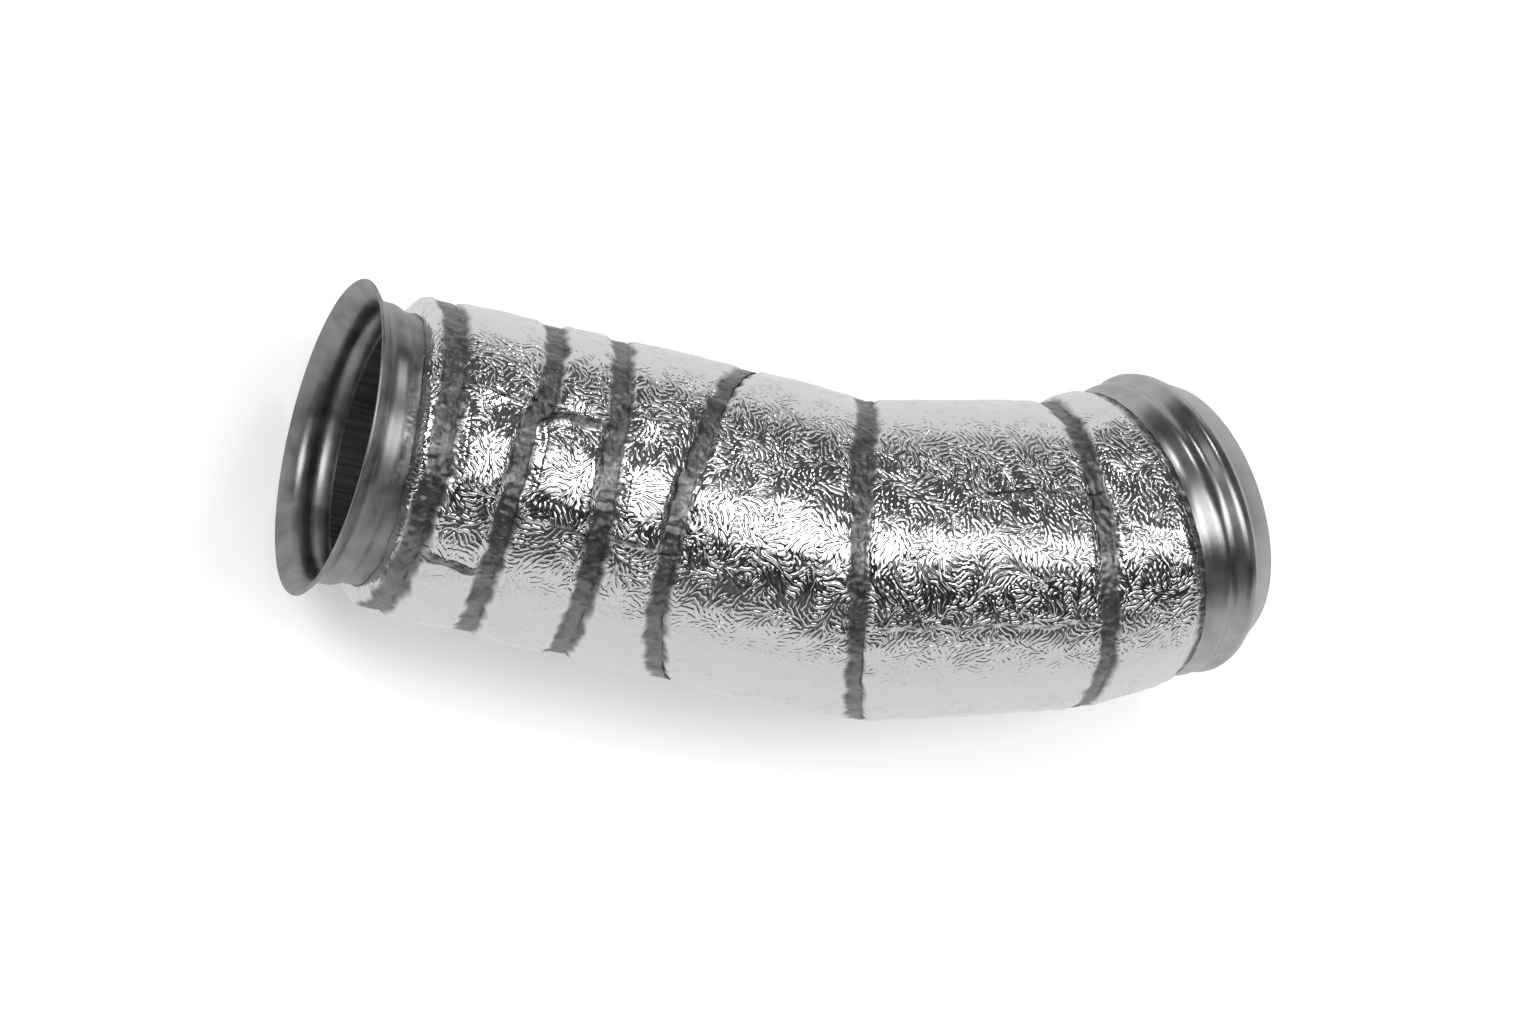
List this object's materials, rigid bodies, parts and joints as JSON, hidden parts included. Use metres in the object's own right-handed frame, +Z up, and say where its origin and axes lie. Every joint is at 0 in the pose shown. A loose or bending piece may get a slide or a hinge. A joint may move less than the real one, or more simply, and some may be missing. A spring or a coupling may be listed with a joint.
{
  "type": "insulated exhaust pipe",
  "caption": "Bent steel exhaust pipe wrapped in fibre mat under embossed foil with rolled weld seams, a flared socket flange at the inlet and a beaded sleeve at the outlet.",
  "frame": {"origin": "on the inlet leg's axis, in the middle of the inlet flange's socket", "axes": "+X along the inlet leg into the pipe, +Y the way the pipe bends, +Z up when the pipe lies on its side"},
  "size_m": [0.4889, 0.2041, 0.1597],
  "materials": {
    "tube_steel": "satin",
    "flange_steel": "satin",
    "weld": "as welded",
    "foil": "bright embossed foil",
    "fibre_mat": "needled fibre"
  },
  "bodies": {
    "root": {"inner_pipe": "tube_steel", "inlet_flange": "flange_steel", "outlet_flange": "flange_steel", "inlet_weld": "weld", "outlet_weld": "weld", "foil_collar": "foil", "foil_1": "foil", "foil_2": "foil", "foil_3": "foil", "foil_4": "foil", "foil_5": "foil", "foil_6": "foil", "mat_leg": "fibre_mat", "mat_bend": "fibre_mat"}
  },
  "joints": []
}
